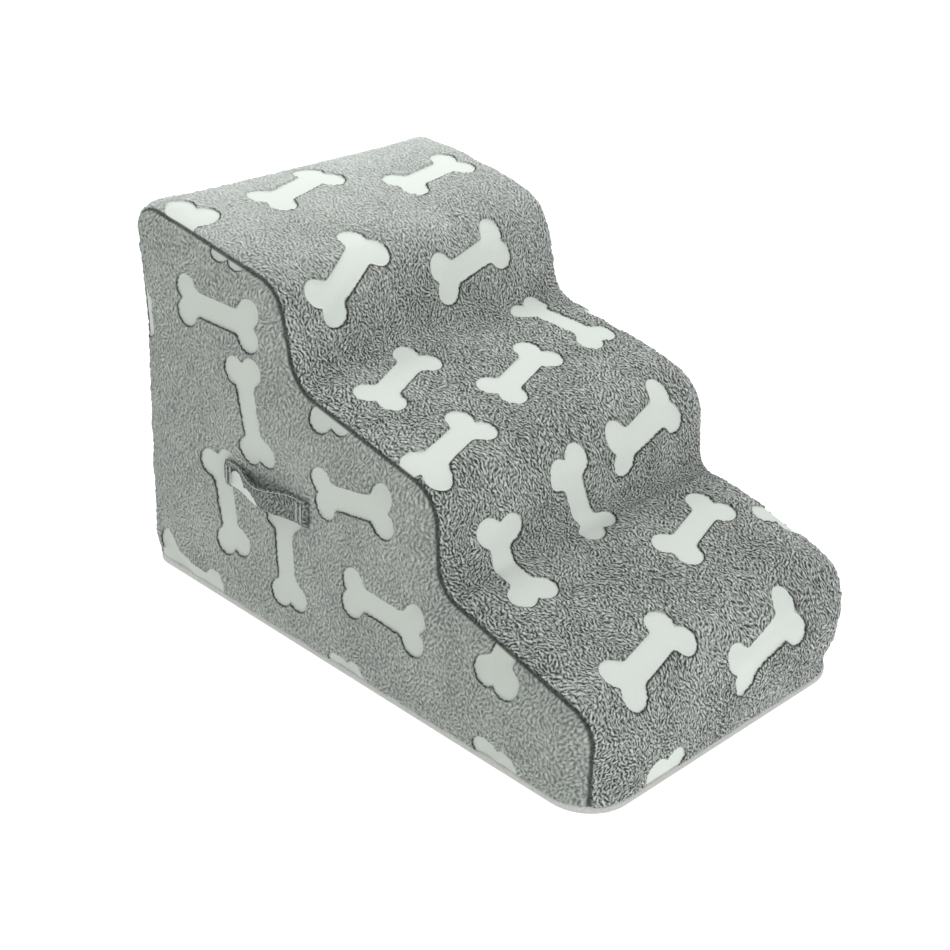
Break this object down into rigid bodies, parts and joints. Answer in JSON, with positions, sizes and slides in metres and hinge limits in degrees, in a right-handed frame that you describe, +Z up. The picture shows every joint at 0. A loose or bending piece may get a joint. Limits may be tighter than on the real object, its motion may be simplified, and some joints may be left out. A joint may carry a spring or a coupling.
{
  "type": "foam dog steps",
  "caption": "Foam dog steps in a removable plush cover with a carry strap on one side and a zipper across the foot of the back.",
  "frame": {"origin": "on the floor, midway between the cover's faces in length and in width, the strap left out", "axes": "+X runs down the steps to the low front, +Y points away from the strap side, +Z is up"},
  "size_m": [0.619, 0.3939, 0.3958],
  "materials": {
    "plush_cover": "short grey fleece pile with paler sheared bone shapes",
    "base_cloth": "pale non-slip cloth with small grip dots",
    "liner_cloth": "thin plain white lining cloth",
    "foam_core": "firm open-cell foam",
    "foam_topper": "soft open-cell foam",
    "zipper_tape": "woven grey tape",
    "zipper_coil": "moulded nylon coil",
    "zipper_metal": "satin grey die casting",
    "webbing": "woven polypropylene",
    "thread": "pale polyester thread",
    "label_satin": "blank white satin"
  },
  "bodies": {
    "root": {"tread_panel": "plush_cover", "handle_side_panel": "plush_cover", "plain_side_panel": "plush_cover", "back_panel_upper": "plush_cover", "back_panel_lower": "plush_cover", "handle_tab_rear": "plush_cover", "handle_tab_front": "plush_cover", "base_panel": "base_cloth", "inner_liner": "liner_cloth", "foam_core": "foam_core", "foam_topper": "foam_topper", "zipper_tape_upper": "zipper_tape", "zipper_tape_lower": "zipper_tape", "zipper_coil_upper": "zipper_coil", "zipper_coil_lower": "zipper_coil", "zipper_end_stops": "zipper_metal", "handle_bartacks": "thread", "handle_backing_patches": "webbing"},
    "handle": {"handle_strap": "plush_cover", "handle_webbing": "webbing"},
    "zipper_slider": {"zipper_slider": "zipper_metal"},
    "zipper_pull": {"zipper_pull": "zipper_metal"},
    "care_label": {"care_label": "label_satin"}
  },
  "joints": [
    {"name": "handle_lift", "type": "hinge", "parent": "root", "child": "handle", "pos_m": [-0.12, -0.1885, 0.156], "axis": [-1, 0, 0], "range_deg": [0, 60]},
    {"name": "zipper_slide", "type": "slide", "parent": "root", "child": "zipper_slider", "axis": [0, -1, 0], "range_m": [0, 0.29]},
    {"name": "pull_flip", "type": "hinge", "parent": "zipper_slider", "child": "zipper_pull", "pos_m": [-0.3074, 0.148, 0.052], "axis": [0, 0, -1], "range_deg": [0, 170]},
    {"name": "label_flip", "type": "hinge", "parent": "root", "child": "care_label", "pos_m": [-0.31, -0.108, 0.15], "axis": [0, 1, 0], "range_deg": [0, 90]}
  ]
}
